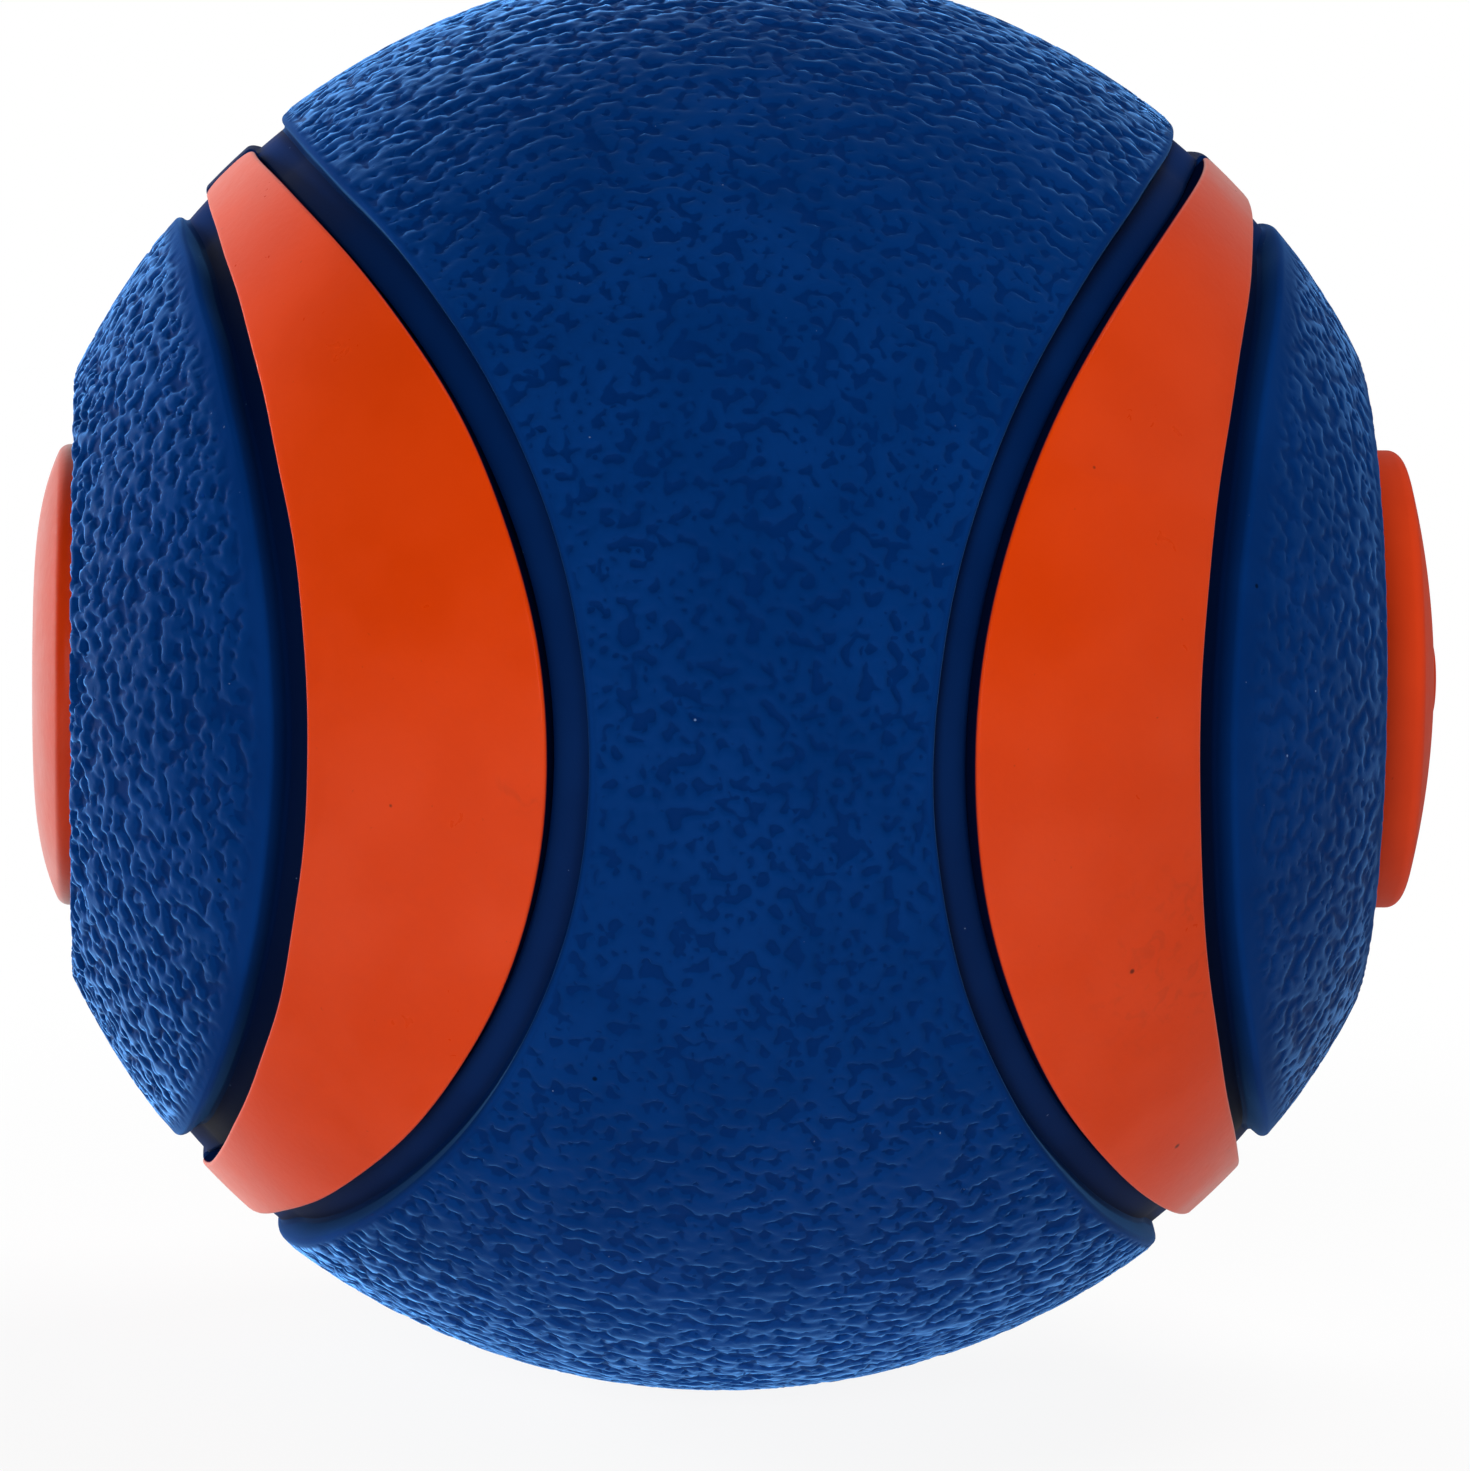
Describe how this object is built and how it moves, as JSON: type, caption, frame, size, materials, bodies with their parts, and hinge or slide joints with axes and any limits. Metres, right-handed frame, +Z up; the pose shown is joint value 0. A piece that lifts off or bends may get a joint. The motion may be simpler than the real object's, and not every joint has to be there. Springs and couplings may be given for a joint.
{
  "type": "squeaky dog ball",
  "caption": "Hollow rubber fetch ball with pebbled shell halves, smooth inlaid bands, domed pole caps and a reed squeaker that sounds when the ball is squeezed.",
  "frame": {"origin": "centre of the ball", "axes": "+X from the centre through the pole with the squeaker and its air hole, +Z up as pictured, -Y towards the viewer"},
  "size_m": [0.0639, 0.065, 0.065],
  "materials": {
    "shell_rubber": "matte",
    "band_rubber": "satin",
    "whistle_plastic": "satin",
    "reed_film": "satin"
  },
  "bodies": {
    "left_half": {"shell_left": "shell_rubber", "band_left_front": "band_rubber", "band_left_back": "band_rubber", "cap_left": "band_rubber"},
    "right_half": {"shell_right": "shell_rubber", "band_right_front": "band_rubber", "band_right_back": "band_rubber", "cap_right": "band_rubber", "whistle_barrel": "whistle_plastic", "reed_bed": "whistle_plastic", "reed_wedge": "whistle_plastic", "whistle_screen": "whistle_plastic"},
    "reed_tongue": {"reed": "reed_film"}
  },
  "joints": [
    {"name": "squeeze", "type": "slide", "parent": "left_half", "child": "right_half", "axis": [1, 0, 0], "range_m": [-0.008, 0], "stiffness_N_per_m": 6000, "deforming": ["shell_left", "shell_right"]},
    {"name": "reed_flutter", "type": "hinge", "parent": "right_half", "child": "reed_tongue", "pos_m": [0.02167, 0, 0.0001], "axis": [0, 1, 0], "range_deg": [-5, 5], "stiffness_Nm_per_rad": 0.0055, "deforming": ["reed"]}
  ]
}
